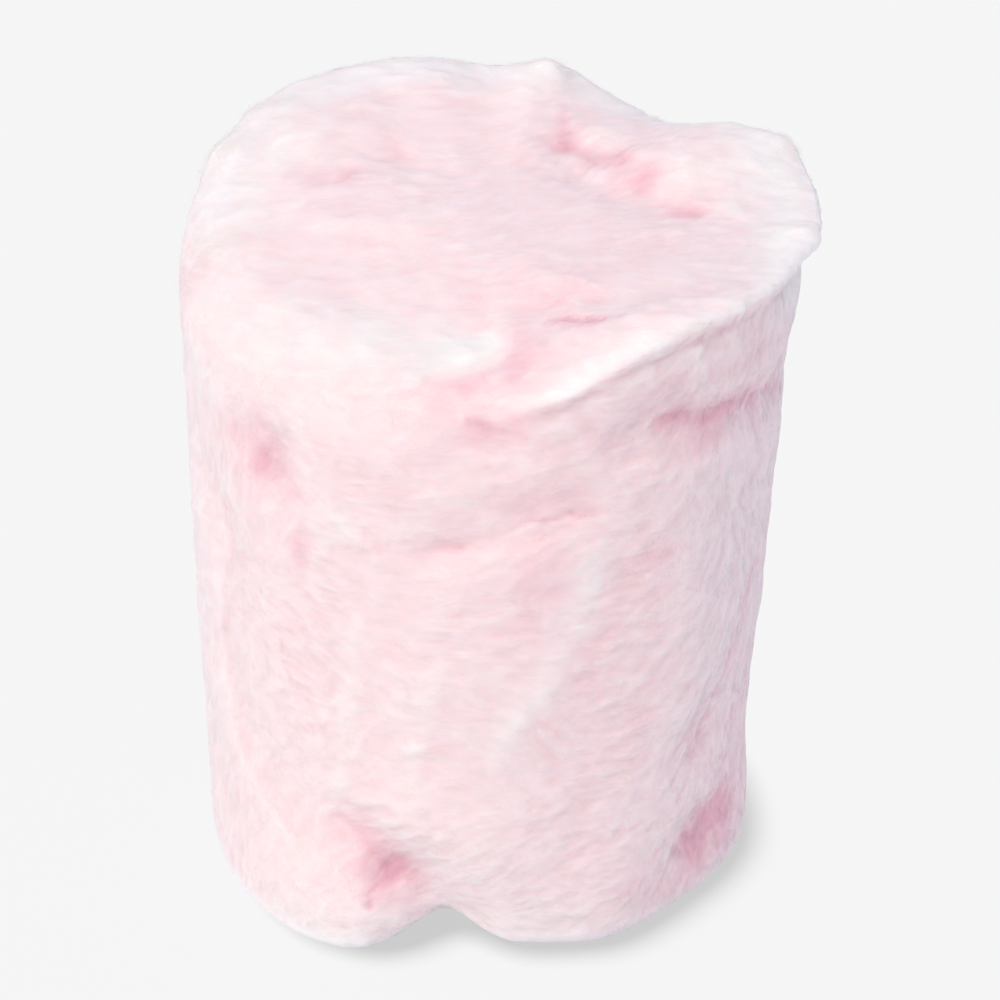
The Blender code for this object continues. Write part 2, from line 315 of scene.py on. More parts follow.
# A crease is where one sheet of floss ends on another: the groove's depth and half width, the
# height of the sheet's edge and how far that edge spreads, how pink the groove's painted shade is,
# and a route with the sheet on its left.
WALL_CREASES = {
    "front crease": (0.3, 0.8, 0.25, 2.4, 0.38,
                     [(21, 100.5), (14, 101.5), (9, 100), (4, 99.5), (-1, 97.2), (-6, 95.6), (-12, 94),
                      (-17, 93.4)]),
    "small mouth": (0.2, 0.6, 0.15, 1.5, 0.3, [(-21, 92.8), (-25, 92), (-29, 92.4)]),
    "left sheet": (0.25, 1.4, 0.4, 3.4, 0.1,
                   [(-38, 22.5), (-43, 24), (-48.6, 26.5), (-55, 31), (-59.5, 36), (-63, 45), (-65, 52),
                    (-63.5, 62), (-60, 74), (-62, 90)]),
    "hem over the left sheet": (0.1, 0.8, 0.3, 2.2, 0.05, [(-37, 46), (-41, 53), (-44, 60), (-45, 67)]),
    "slit under the roll": (0.22, 1.4, 0.12, 2.8, 0.5,
                            [(28, 116.8), (33, 115.8), (43, 113.4), (53, 111.4), (65, 107.5), (76, 103.8),
                             (83, 101)]),
    "recess by the lip": (0.15, 1.6, 0.1, 2.4, 0.25, [(-8, 120.5), (-3, 120), (1, 119.6), (6, 118)]),
    "right fold": (0.35, 1.0, 0.3, 3.0, 0.5, [(44, 35), (48, 41), (52, 46), (58, 53), (66, 63), (74, 74)]),
    "lobe's upper edge": (0.1, 1.6, 0.15, 3.0, 0.4,
                          [(-21, 16.5), (-24, 20.5), (-28, 26.5), (-31, 30), (-34, 31)]),
    "lobe's lower arm": (0.3, 1.1, 0.1, 2.4, 0.5, [(-23, 19), (-25, 15.5), (-26.5, 11.5)]),
    "left side fold": (0.3, 1.3, 0.4, 3.5, 0.2, [(-96, 22), (-104, 48), (-98, 74), (-106, 100)]),
    "back fold": (0.3, 1.4, 0.3, 3.5, 0.35, [(-172, 30), (-158, 52), (-154, 78), (-160, 104)]),
    "back cross fold": (0.25, 1.2, 0.25, 3.0, 0.35, [(176, 99), (166, 93), (146, 96), (128, 88)]),
    "back low fold": (0.25, 1.2, 0.3, 3.0, 0.25, [(118, 24), (132, 34), (150, 30), (170, 40)]),
    "right rear fold": (0.25, 1.2, 0.3, 3.2, 0.2, [(98, 30), (104, 52), (112, 70), (108, 92)]),
}
TOP_CREASES = {
    "valley": (0.4, 1.8, 0.1, 3.0, 0.5,
               [(12.4, 36), (12, 27), (17, 23), (21, 20), (24.5, 12.5), (29, 6.5), (34, 1.5), (38, -5)]),
    "slit behind the lip": (0.5, 0.6, 0.25, 2.2, 0.7, [(7, -34), (11, -36), (17, -39.5), (23, -41.5)]),
    "thread by the lip": (0.1, 0.5, 0.25, 1.4, 0.1, [(1, -21), (8, -26), (12, -30.5), (14, -34)]),
    "top curl": (0.12, 0.9, 0.2, 2.4, 0.14, [(-28, -5), (-21.5, -9.7), (-16, -10.8), (-9, -9)]),
    "hem of the tongue": (0.15, 1.4, 0.3, 3.0, 0.12,
                          [(-40, -37), (-27, -47), (-18, -49.5), (-12, -47), (-7, -44.5), (-1, -42.5)]),
    "top fold": (0.1, 1.4, 0.2, 3.0, 0.2, [(-38, 10.5), (-28, 11), (-24, 16), (-17, 20), (-12, 21)]),
    "back curl": (0.2, 0.9, 0.25, 2.4, 0.2, [(-30, 34), (-16, 38), (-2, 36)]),
}
# Painted shade: a groove is painted pink, and so is a painted shadow on its right; the sheet's own
# edge is painted pale, as painted light.
PAINTED_GROOVE_SHADE = 0.65
PAINTED_SHADOW_PINK = 0.22
PAINTED_SHADOW_WIDTH = 4.0
PAINTED_EDGE_LIGHT = 0.5
# A pleat is a long swelling: its height, its half widths to the right and to the left of its
# route, how pale it is painted, as painted light on the swelling, and the route.
PLEATS = {
    "roll under the lip": (1.0, 6.0, 5.0, 0.0,
                           [(14, 121), (24, 124), (34, 126.5), (46, 126.5), (58, 125), (70, 121)]),
    "floss under the lip": (0.5, 3.0, 2.5, 0.0,
                            [(8, 124), (12, 124.2), (17, 126), (20, 127.3), (24, 129), (28, 130),
                             (36, 130.8), (44, 130.8), (52, 129.8), (60, 129), (68, 127.8), (76, 127)]),
    "front pleat": (0.35, 4.2, 2.8, 0.5, [(18.5, 95), (18, 86), (15, 78), (11, 68), (4, 57), (-3, 47.8)]),
    "left sheet's edge": (0.2, 1.8, 5.0, 0.1,
                          [(-40, 22.5), (-49.5, 25.5), (-60.5, 35.5), (-66.5, 52), (-61, 75)]),
    "pleat to the notch": (0.22, 3.0, 2.2, 0.24,
                           [(-27.5, 80), (-28.8, 69.6), (-29.3, 50), (-32.5, 40), (-32, 33.5), (-28, 30)]),
    "pleat over the notch": (0.2, 3.2, 2.2, 0.22,
                             [(-12, 69), (-13, 64), (-16, 52.5), (-17, 43), (-15, 33)]),
    "roll's edge": (0.15, 2.2, 1.2, 0.3, [(36, 131), (37.5, 128), (39.5, 123.5), (37, 119.5)]),
    "left rear pleat": (0.5, 3.5, 1.8, 0.3, [(-122, 96), (-128, 70), (-120, 46)]),
    "back pleat": (0.5, 3.5, 1.8, 0.3, [(140, 84), (150, 66), (146, 44)]),
    "right pleat": (0.5, 3.5, 1.8, 0.3, [(88, 90), (92, 68), (84, 46)]),
}
# Patches: place, half width and half height, how pink, and how far the floss swells there.  The
# pink is below nothing where the floss is paler.  Much of it is painted light and shade: pink as
# painted shade in the dimple, the notch, the slit, under the lip and at the low right, and paleness
# as painted light on the rim and the right of the top, which face away from the key light.
WALL_PATCHES = {
    "dimple": [(-47.8, 103.5, 6.8, 7.0, 0.42, 0.0), (-48.6, 102.4, 2.8, 3.6, 0.45, -0.5),
               (-50.5, 111, 2.4, 4.0, 0.3, 0.0), (-60, 112, 4.0, 6.4, 0.0, 1.0),
               (-46, 117, 10, 6, 0.15, 0.0)],
    "left wall": [(-38, 87, 2.2, 6.5, 0.3, -0.1), (-36, 68, 7, 10, 0.1, 0.0), (-30, 97, 5, 6, -0.35, 0.2),
                  (-66, 112, 6, 6, -0.3, 0.0), (-74, 70, 5, 50, -0.15, 0.0)],
    "notch": [(-24, 20.5, 5, 5, 0.38, 0.0), (-20, 19, 5, 6, 0.12, 0.0), (-23.8, 19.5, 2.2, 3, 0.5, -0.5),
              (-30, 27, 6, 5, 0.25, 0.0), (-17.5, 15, 3, 5, 0.3, 0.0), (-7, 23, 8, 10, -0.15, 0.0)],
    "foot": [(-36, 15, 8, 7, -0.1, 0.0), (-34, 6, 16, 5, -0.4, 0.0), (6, 7, 12, 5, -0.3, 0.0),
             (31, 12, 5, 4, 0.25, 0.0), (48, 6, 14, 5, 0.3, 0.0)],
    "low right pit": [(54.5, 14, 5.5, 4.4, 0.9, 0.0), (63, 17, 6, 5, 0.55, 0.0),
                      (62, 14, 14, 10, 0.25, 0.0)],
    "right fold": [(45, 38, 3, 5, 0.4, 0.0), (64, 30, 9, 14, 0.25, 0.0), (50, 26, 6, 9, 0.15, 0.0)],
    "front wall": [(27, 84, 9, 14, 0.1, 0.0), (27, 52, 9, 16, 0.12, 0.0), (14, 60, 6, 20, 0.1, 0.0),
                   (30, 89, 3, 6, 0.2, 0.0), (8, 90, 5, 9, 0.25, 0.0), (10, 72, 9, 14, 0.15, 0.0)],
    "front crease": [(5, 104.5, 9, 4, 0.15, 0.0), (12, 107, 3, 2, 0.2, 0.0), (-22, 104, 10, 8, 0.1, 0.0)],
    "recess by the lip": [(-1, 119.5, 5, 3, 0.25, 0.0), (-8, 122, 7, 4, 0.25, 0.0)],
    "slit under the roll": [(45, 113.5, 9, 2.8, 0.4, 0.0), (57, 111, 8, 2.8, 0.3, 0.0),
                            (31, 116, 4, 2.5, 0.3, 0.0), (42, 109, 8, 3, 0.2, 0.0)],
    "under the lip": [(60, 121, 16, 7, 0.2, 0.0), (30, 122, 10, 6, 0.2, 0.0), (15, 117, 9, 6, 0.15, 0.0),
                      (45, 123, 10, 6, 0.05, 0.0)],
    "rim": [(84, 130, 18, 8, -0.7, 0.0), (24, 134, 10, 4, -0.3, 0.0), (66, 134, 10, 4, -0.5, 0.0)],
    "right side": [(118, 76, 6, 9, 0.3, 0.8), (100, 20, 9, 6, 0.25, 0.0)],
    "back": [(-152, 88, 8, 9, 0.3, 1.0), (168, 58, 20, 24, 0.2, 0.0), (150, 112, 14, 6, -0.3, 0.0),
             (-140, 60, 8, 14, -0.25, 0.0)],
    "left side": [(-124, 14, 9, 6, 0.3, 1.0), (-84, 118, 5, 8, 0.4, 0.0)],
}
TOP_PATCHES = {
    "valley": [(12.4, 26.5, 3, 3, 0.5, 0.0), (12.4, 33, 2, 4, 0.3, 0.0), (21, 20, 3.5, 3.5, 0.5, 0.0),
               (24.6, 12.2, 4, 3, 0.4, 0.0), (34, 1.5, 5, 3, 0.3, 0.0)],
    "beside the valley": [(18.5, 30, 3.4, 3.4, -0.2, 1.0), (16.5, 20, 2.6, 2.6, 0.1, 1.0),
                          (33, 15, 6, 4, -0.25, 0.2), (44, 14, 10, 12, -0.35, 0.0),
                          (12, 42, 9, 6, -0.15, 0.0)],
    "middle of the top": [(8, 12, 20, 14, 0.06, 0.0), (24, -20, 14, 8, 0.18, 0.0),
                          (30, -8, 14, 8, 0.1, 0.0), (3, -27, 11, 7, 0.2, 0.0),
                          (17, -30, 9, 5, 0.12, 0.0), (40, -22, 12, 9, -0.2, 0.0)],
    "top fold": [(-20, 20.5, 4.5, 3, 0.32, 0.0), (-31, 12, 9, 2.5, 0.3, 0.0), (-28, 8, 20, 22, -0.1, 0.0)],
    "top curl": [(-30, 0, 5, 3, 0.2, 0.0), (-15.6, -16, 4, 2.5, 0.2, 0.0)],
    "left of the top": [(-53, -8, 3, 7, 0.35, 0.0), (-40, -27, 12, 10, -0.2, 0.0),
                        (-48, 2, 7, 9, -0.35, 0.0)],
    "tongue": [(-24, -37, 19, 9, -0.45, 0.0), (-15, -39, 9, 4, -0.25, 0.0)],
    "round the tongue's tip": [(16, -39.5, 4, 1.5, 0.3, 0.0), (2, -38, 3.5, 5, 0.34, 0.0),
                               (7, -42, 4, 3, 0.27, 0.0), (1, -45, 6, 3, 0.3, 0.0),
                               (-3, -47, 7, 4, 0.3, 0.0)],
    "rim": [(51, 18, 5, 8, -0.4, 0.0), (55, 2, 5, 12, -0.45, 0.0), (52, -17, 6, 10, -0.6, 0.0),
            (0, 44, 30, 9, -0.25, 0.0), (-50, 21, 3, 3, 0.0, 1.0), (-43, 31, 4, 3, 0.0, 0.8),
            (8.6, 46, 3, 3, 0.0, 1.4), (51, 23, 4, 4, 0.0, 1.2), (56, -7, 4, 4, 0.0, 0.8)],
}

# Routes and patches are read from bent space, so that nothing runs too straight or too round,
# and no crease keeps one depth.
PLEAT_BEND = 1.3
CREASE_FLUTTER = 0.6
PATCH_BEND = 2.2
facing = mesh_normals(block)
wobble = np.stack([wander(points, 7.0, seed) for seed in (1, 2, 3)], axis=1)
flutter = np.stack([wander(points, 2.4, seed) for seed in (4, 5, 6)], axis=1)
pleat_space = points + PLEAT_BEND * wobble
crease_space = pleat_space + CREASE_FLUTTER * flutter
patch_space = points + PATCH_BEND * wobble
unevenness = np.clip(0.9 + 0.6 * wander(points, 4.0, 7), 0.3, 1.4)
blotches = 1.0 + 0.5 * wander(points, 4.0, 8)
push = np.zeros(len(points))
tint = np.zeros(len(points))
for creases, find in ((WALL_CREASES, on_wall), (TOP_CREASES, on_top)):
    for depth, width, edge, spread, pink, route in creases.values():
        found = rounded([find(skin, *place)[0] for place in route], 1)
        gap, left, along = nearest_on(found, crease_space, facing)
        fade = eased(along, 0.0, 0.2) * eased(1.0 - along, 0.0, 0.2) * unevenness
        on_sheet = np.maximum(left, 0.0)
        sheet = eased(left, 0.3 * width, 1.2 * width) * np.exp(-on_sheet / spread)
        sheet *= gap < 5.0 * spread
        push += fade * (edge * sheet - depth * bell(gap, width))
        # Painted shade in and beside the groove, and painted light on the sheet's edge.
        painted_shadow = (1.0 - eased(left, -3.0, 3.0)) * bell(gap, PAINTED_SHADOW_WIDTH)
        tint += fade * pink * (PAINTED_GROOVE_SHADE * bell(gap, width + 0.8) + PAINTED_SHADOW_PINK * painted_shadow)
        tint -= fade * PAINTED_EDGE_LIGHT * edge * sheet * np.exp(-on_sheet / 1.5)
for height, right_width, left_width, pale, route in PLEATS.values():
    found = rounded([on_wall(skin, *place)[0] for place in route], 1)
    gap, left, along = nearest_on(found, pleat_space, facing)
    fade = eased(along, -0.05, 0.2) * eased(1.0 - along, -0.05, 0.2)
    swelling = bell(gap, np.where(left > 0.0, left_width, right_width))
    push += fade * height * swelling
    # Painted light: the swelling is painted paler.
    tint -= fade * pale * swelling
for patches, find in ((WALL_PATCHES, on_wall), (TOP_PATCHES, on_top)):
    for first, second, half_width, half_height, pink, swell in sum(patches.values(), []):
        spot = spot_at(find, skin, (first, second), half_width, half_height, patch_space)
        # Patches paint pink blotches, painted shade and painted light into the floss.
        tint += pink * spot * blotches
        push += swell * spot

# The tongue's tip and the lip's edge, where it faces up, are painted nearly white: painted light
# on thin proud floss.  Just under the lip a painted shade makes the floss pinker.
LIP_ROUTE = [(3, 124.5), (8, 125), (14, 127), (21, 129.5), (29, 131.5), (38, 133.5), (46, 134),
             (53, 133.5), (60, 132.5), (67, 131.3), (74, 130.8)]
TIP_PAINTED_LIGHT, TIP_RADIUS, TIP_FADE = 0.75, 3.6, 1.8
LIP_PAINTED_LIGHT, LIP_WIDTH = 0.6, 3.2
UNDER_LIP_PAINTED_SHADE, UNDER_LIP_WIDTH = 0.2, 6.0
tongue_gap, _, along = nearest_on(tongue, points, facing)
tint -= TIP_PAINTED_LIGHT * bell(np.maximum(tongue_gap - TIP_RADIUS, 0.0), TIP_FADE) * eased(along, 0.35, 0.75)
lip = rounded([on_wall(tub_skin, *place)[0] for place in LIP_ROUTE])
lip_gap, _, along = nearest_on(lip, points, facing)
under = 1.0 - eased(facing[:, 2], -0.25, 0.15)
tint -= LIP_PAINTED_LIGHT * bell(lip_gap, LIP_WIDTH) * (1.0 - under) * eased(along, 0.0, 0.25)
tint += UNDER_LIP_PAINTED_SHADE * bell(lip_gap, UNDER_LIP_WIDTH) * under

# The grain: floss runs round the block and across the top, and swirls as it goes.  It turns
# upright on the right wall, at the left and at the left rear.
UPRIGHT_TURN = 1.3  # in radians
radial = unit(points * (1.0, 1.0, 0.0))
around = np.stack([-radial[:, 1], radial[:, 0], np.zeros(len(points))], axis=1)
topness = eased(facing[:, 2], 0.35, 0.75)
azimuths = np.degrees(np.arctan2(points[:, 0], -points[:, 1]))
upright = bell(azimuths - 62.0, 32.0) + bell(azimuths + 128.0, 30.0) + 0.7 * bell(azimuths + 62.0, 20.0)
upright *= 1.0 - topness
grain = around * (1.0 - topness)[:, None] + np.outer(topness, (1.0, 0.0, 0.0))
grain = unit(grain - facing * (grain * facing).sum(axis=1)[:, None])
cross_grain = np.cross(facing, grain)
swirl = 0.8 * wander(points, 24.0, 11) + 0.45 * wander(points, 9.0, 12) + UPRIGHT_TURN * upright
grain, cross_grain = (
    grain * np.cos(swirl)[:, None] + cross_grain * np.sin(swirl)[:, None],
    cross_grain * np.cos(swirl)[:, None] - grain * np.sin(swirl)[:, None],
)


def combed(seed, rounds, blur=0):
    """Random lumps drawn out along the grain, as a comb would, with unit spread."""
    links = np.concatenate([pairs, diagonals])
    run = unit(points[links[:, 1]] - points[links[:, 0]])
    pull = np.abs((run * unit(grain[links[:, 0]] + grain[links[:, 1]])).sum(axis=1)) ** 8
    values = relaxed(np.random.default_rng(seed).normal(size=len(points)), links, blur)
    values = relaxed(values, links, rounds, pull)
    return values / values.std()


# Relief: soft puffs with creases between them, tufts and drawn-out strands along the grain,
# and torn floss where the pink is deep.
LUMP_HEIGHT = 0.2
PUFF_HEIGHT = 0.15
TUFT_HEIGHT = 0.06
FLECK_HEIGHT = 0.1
SHORT_STRAND_HEIGHT = 0.038
LONG_STRAND_HEIGHT = 0.045
TORN_HEIGHT = 0.4
lumps = wander(points, 16.0, 22)
puffs = np.abs(wander(points + 2.0 * wobble, 8.0, 21)) + 0.5 * np.abs(wander(points + wobble, 3.6, 23))
tufts = combed(33, 8, blur=3)
flecks = eased(tufts, 0.8, 2.0)
long_strands = combed(31, 14)
short_strands = combed(32, 4)
flakes = TUFT_HEIGHT * tufts + FLECK_HEIGHT * flecks + SHORT_STRAND_HEIGHT * short_strands
relief = LUMP_HEIGHT * lumps + PUFF_HEIGHT * (puffs - 0.5)
relief += flakes * (1.0 + 0.45 * topness)  # the torn top is flakier than the moulded wall
relief += LONG_STRAND_HEIGHT * long_strands * (1.0 - 0.4 * topness)
relief += TORN_HEIGHT * np.clip(tint, 0.0, 1.0) * wander(points, 2.6, 24)
points = points + facing * ((push + relief) * standing)[:, None]
points[:, 2] = np.maximum(points[:, 2], 0.0)
place_points(block, points)
facing = mesh_normals(block)

# Painted shade and light: pink deepens where a place lies below the surface round it, as painted
# shade, and pales on whatever stands proud, as painted light.  The top pales too, as it is torn.
HOLLOW_ROUNDS = 60
EVEN_PINK, PAINTED_RELIEF_SHADING = 0.02, 0.2
TOP_PALENESS, TUFT_PALENESS, FLECK_PALENESS, STRAND_PALENESS = 0.07, 0.012, 0.035, 0.006
hollow = ((relaxed(points, pairs, HOLLOW_ROUNDS) - points) * facing).sum(axis=1)
tint += EVEN_PINK - TOP_PALENESS * topness + PAINTED_RELIEF_SHADING * np.clip(hollow, -0.8, 2.0)
tint -= TUFT_PALENESS * tufts + FLECK_PALENESS * flecks + STRAND_PALENESS * long_strands

# Painted light and shade in lilac: at the rim behind and along the foot it paints light coming
# through thin floss, and a little at the sides it paints the lilac shade of the right side and the
# pale rim light of the left side.
RIM_HEIGHT = 112.0
RIM_WIDTH = 8.0
RIM_RADIUS, BACK_RIM_RADIUS = 44.0, 40.0
FOOT_RIM_HEIGHT = 7.0
RIGHT_SIDE_PAINTED_SHADE, LEFT_SIDE_PAINTED_LIGHT = 0.14, 0.22
x, y, z = points.T
inside = RIM_RADIUS - (RIM_RADIUS - BACK_RIM_RADIUS) * eased(y, 25.0, 45.0)
back_rim = eased(np.hypot(x, y), inside, inside + RIM_WIDTH) * eased(y, -25.0, 5.0)
back_rim *= eased(z, RIM_HEIGHT, RIM_HEIGHT + RIM_WIDTH)
back_rim *= eased(facing[:, 2] + 0.3 * wobble[:, 0], -0.1, 0.8)
foot_rim = (1.0 - eased(z, 0.0, FOOT_RIM_HEIGHT)) * (1.0 - 0.6 * bell(azimuths - 50.0, 25.0))
painted_right_shade = RIGHT_SIDE_PAINTED_SHADE * bell(azimuths - 52.0, 20.0) * (1.0 - eased(z, 98.0, 112.0))
painted_right_shade *= 0.3 + 0.7 * eased(z, 0.0, 50.0)
painted_left_light = LEFT_SIDE_PAINTED_LIGHT * bell(azimuths + 80.0, 18.0) * (1.0 - topness)
# Painted lilac light and shade, all in one mask.
painted_lilac = np.clip(back_rim + foot_rim + painted_right_shade + painted_left_light, 0.0, 1.0)
felt_place = (points + PATCH_BEND * wobble) * MM


def store_looks(piece, tint, painted_lilac, felt_place):
    """Keeps what the floss colours read: pinks and painted shade, paleness and painted light, painted
    lilac, and a place.
    """
    store(piece, "pink_and_painted_shade", np.clip(tint, 0.0, 1.6))
    store(piece, "paleness_and_painted_light", np.clip(-tint, 0.0, 1.0))
    store(piece, "painted_lilac", painted_lilac)
    store(piece, "felt_place", felt_place)


store_looks(block, tint, painted_lilac, felt_place)
store(block, "upright", np.clip(upright, 0.0, 1.0))
store(block, "topness", topness)


class Value:
    """A shader value on its way between nodes.  Sums on it add Math nodes."""

    def __init__(self, tree, socket=None):
        self.tree = tree
        self.socket = socket

    def node(self, kind, settings, values, output=0):
        """Adds a node: its settings, then numbers, colours or links for its inputs."""
        made = self.tree.nodes.new(kind)
        for name, setting in settings.items():
            setattr(made, name, setting)
        for name, value in values.items():
            if isinstance(value, Value):
                self.tree.links.new(value.socket, made.inputs[name])
            else:
                made.inputs[name].default_value = value
        return Value(self.tree, made.outputs[output])

    def sum(self, operation, first, second):
        return self.node("ShaderNodeMath", {"operation": operation}, {0: first, 1: second})

    def __add__(self, other):
        return self.sum("ADD", self, other)

    def __radd__(self, other):
        return self.sum("ADD", other, self)

    def __sub__(self, other):
        return self.sum("SUBTRACT", self, other)

    def __rsub__(self, other):
        return self.sum("SUBTRACT", other, self)

    def __mul__(self, other):
        return self.sum("MULTIPLY", self, other)

    def __rmul__(self, other):
        return self.sum("MULTIPLY", other, self)

    def clamped(self):
        return self.node("ShaderNodeClamp", {}, {"Value": self})

    def mix(self, low, high):
        """From one colour to another as this value goes from 0 to 1."""
        return self.node("ShaderNodeMix", {"data_type": "RGBA"}, {0: self, 6: low, 7: high}, output=2)

    def stored(self, name, output="Fac"):
        return self.node("ShaderNodeAttribute", {"attribute_name": name}, {}, output=output)

    def noise(self, place, scale, stretch, roughness=0.6, distortion=0.0):
        """Noise from 0 to 1 about 0.5, with its features drawn out where stretch is small."""
        scaled = self.node("ShaderNodeVectorMath", {"operation": "MULTIPLY"}, {0: place, 1: stretch})
        return self.node("ShaderNodeTexNoise", {}, {
            "Vector": scaled, "Scale": scale, "Detail": 2.0, "Roughness": roughness,
            "Distortion": distortion})


def new_material(name):
    """A material cleared to its output, and a Value to build on."""
    material = bpy.data.materials.new(name)
    material.use_nodes = True
    material.node_tree.nodes.clear()
    return material, Value(material.node_tree)


def finish_material(shader):
    output = shader.tree.nodes.new("ShaderNodeOutputMaterial")
    shader.tree.links.new(shader.socket, output.inputs["Surface"])


FLOSS = (0.968, 0.758, 0.788, 1.0)
PALE_AND_PAINTED_LIGHT = (0.978, 0.915, 0.912, 1.0)
DEEP_PINK = (0.820, 0.465, 0.555, 1.0)
PALE_LILAC = (0.950, 0.925, 0.975, 1.0)
SCATTER_RADIUS = (1.0, 0.62, 0.68)
SCATTER_SCALE = 2.5 * MM
CLOUD_SCALE = 190.0
HAIR_SCALE = 1500.0
HAIR_DRAWN = 0.16  # a hair's width over its length
# Sugar drawn this fine has no gloss, only the faint sheen of its loose ends.
DRY_SUGAR = {"Roughness": 0.9, "Specular IOR Level": 0.1, "Sheen Weight": 0.2, "Sheen Roughness": 0.5,
             "Sheen Tint": (0.95, 0.93, 1.0, 1.0)}


def floss_colour(start):
    """Cloudy pinks, from pale ends and painted light to the deep pink and painted shade of a hollow, and
    painted lilac at the rims.
    """
    place = start.stored("felt_place", "Vector")
    cloud = start.noise(place, CLOUD_SCALE, (0.7, 0.7, 1.0), roughness=0.5) - 0.5
    depth = (start.stored("pink_and_painted_shade") * (1.0 + cloud * 0.9) + cloud * 0.22 - 0.01).clamped()
    light = (start.stored("paleness_and_painted_light") - cloud * 0.6).clamped()
    colour = depth.mix(light.mix(FLOSS, PALE_AND_PAINTED_LIGHT), DEEP_PINK)
    return (start.stored("painted_lilac") * 0.7).mix(colour, PALE_LILAC)


def felt_material():
    """Matted fibres with no shine: hairs are drawn out round the wall, up it or across the top."""
    material, start = new_material("felted floss")
    place = start.stored("felt_place", "Vector")
    round_hairs, raised_hairs, level_hairs = (
        start.noise(place, HAIR_SCALE, stretch, distortion=0.4)
        for stretch in ((HAIR_DRAWN, HAIR_DRAWN, 1.0), (1.0, 1.0, HAIR_DRAWN), (HAIR_DRAWN, 1.0, 1.0)))
    upright = start.stored("upright")
    topness = start.stored("topness")
    hairs = (round_hairs * (1.0 - upright) + raised_hairs * upright) * (1.0 - topness)
    hairs = hairs + level_hairs * topness
    bump = start.node("ShaderNodeBump", {}, {"Strength": 0.4, "Distance": 0.2 * MM, "Height": hairs})
    finish_material(start.node("ShaderNodeBsdfPrincipled", {}, {
        **DRY_SUGAR, "Base Color": floss_colour(start), "Normal": bump, "Subsurface Weight": 0.8,
        "Subsurface Radius": SCATTER_RADIUS, "Subsurface Scale": SCATTER_SCALE}))
    return material


block.data.materials.append(felt_material())
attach(block, "root")
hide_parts("cotton_candy")


# ---- Fibres on the block ---------------------------------------------------------------------
# Hair-fine threads of spun sugar, as flung from the spinning head, that lie matted on the
# surface.  Each is a thin strand with pointed ends, laid along the grain and pressed into it.
FIBRE_RINGS = 3
FIBRE_STOPS = FIBRE_RINGS + 2  # a fibre's two pointed ends, and the rings between them
# Across a fibre: two low slopes that meet in a ridge, and a flat face pressed on the felt.
FIBRE_SECTION = np.array([(1.0, 0.0), (-1.0, 0.0), (0.0, -0.25)])
FIBRE_SIDES = len(FIBRE_SECTION)
FIBRE_TAPER = 0.4
FIBRE_ROUNDNESS = 0.2
FIBRE_SINK = 0.03
FIBRE_FLOOR = 0.15  # no fibre lies lower, so none goes into the table
SHARPEST_BEND = 0.8  # the least cosine between the surface's normals at two stops


def fibre_mesh(name, paths, skins, radii, glow):
    """Joins thin tubes with pointed ends: paths is fibres by places, end points included.

    The tubes are shaded mostly as the surface under them, since light passes through a fibre, and
    those that stand off are shaded partly as if they faced the light above: glow says how far.
    """
    count, places = paths.shape[:2]
    rings = places - 2
    run = unit(np.gradient(paths, axis=1))
    aside = unit(np.cross(run, skins))
    rise = np.cross(run, aside)
    circle = (FIBRE_SECTION[:, :1] * aside[:, 1:-1, None, :]
              + FIBRE_SECTION[:, 1:] * rise[:, 1:-1, None, :])
    swell = np.sin(math.pi * (np.arange(rings) + 1.0) / (rings + 1.0)) ** FIBRE_TAPER
    body = paths[:, 1:-1, None, :] + circle * (radii[:, None] * swell)[:, :, None, None]
    skins = unit(skins * (1.0 - glow) + glow * UP)
    shaded = unit(FIBRE_ROUNDNESS * circle + skins[:, 1:-1, None, :])
    each = rings * FIBRE_SIDES + 2
    points = np.concatenate([paths[:, :1], body.reshape(count, -1, 3), paths[:, -1:]], axis=1)
    normals = np.concatenate([skins[:, :1], shaded.reshape(count, -1, 3), skins[:, -1:]], axis=1)

    faces = []
    for side in range(FIBRE_SIDES):
        after = (side + 1) % FIBRE_SIDES
        faces.append((0, 1 + after, 1 + side))
        for ring in range(rings - 1):
            low, high = 1 + ring * FIBRE_SIDES, 1 + (ring + 1) * FIBRE_SIDES
            faces.append((low + side, low + after, high + after))
            faces.append((low + side, high + after, high + side))
        last = 1 + (rings - 1) * FIBRE_SIDES
        faces.append((last + side, last + after, each - 1))
    faces = (np.array(faces)[None] + each * np.arange(count)[:, None, None]).reshape(-1, 3)
    piece = solid_mesh(name, points.reshape(-1, 3), faces)
    piece.data.normals_split_custom_set_from_vertices(normals.reshape(-1, 3).tolist())
    return piece, each


block_skin = skin_of(points, quads)


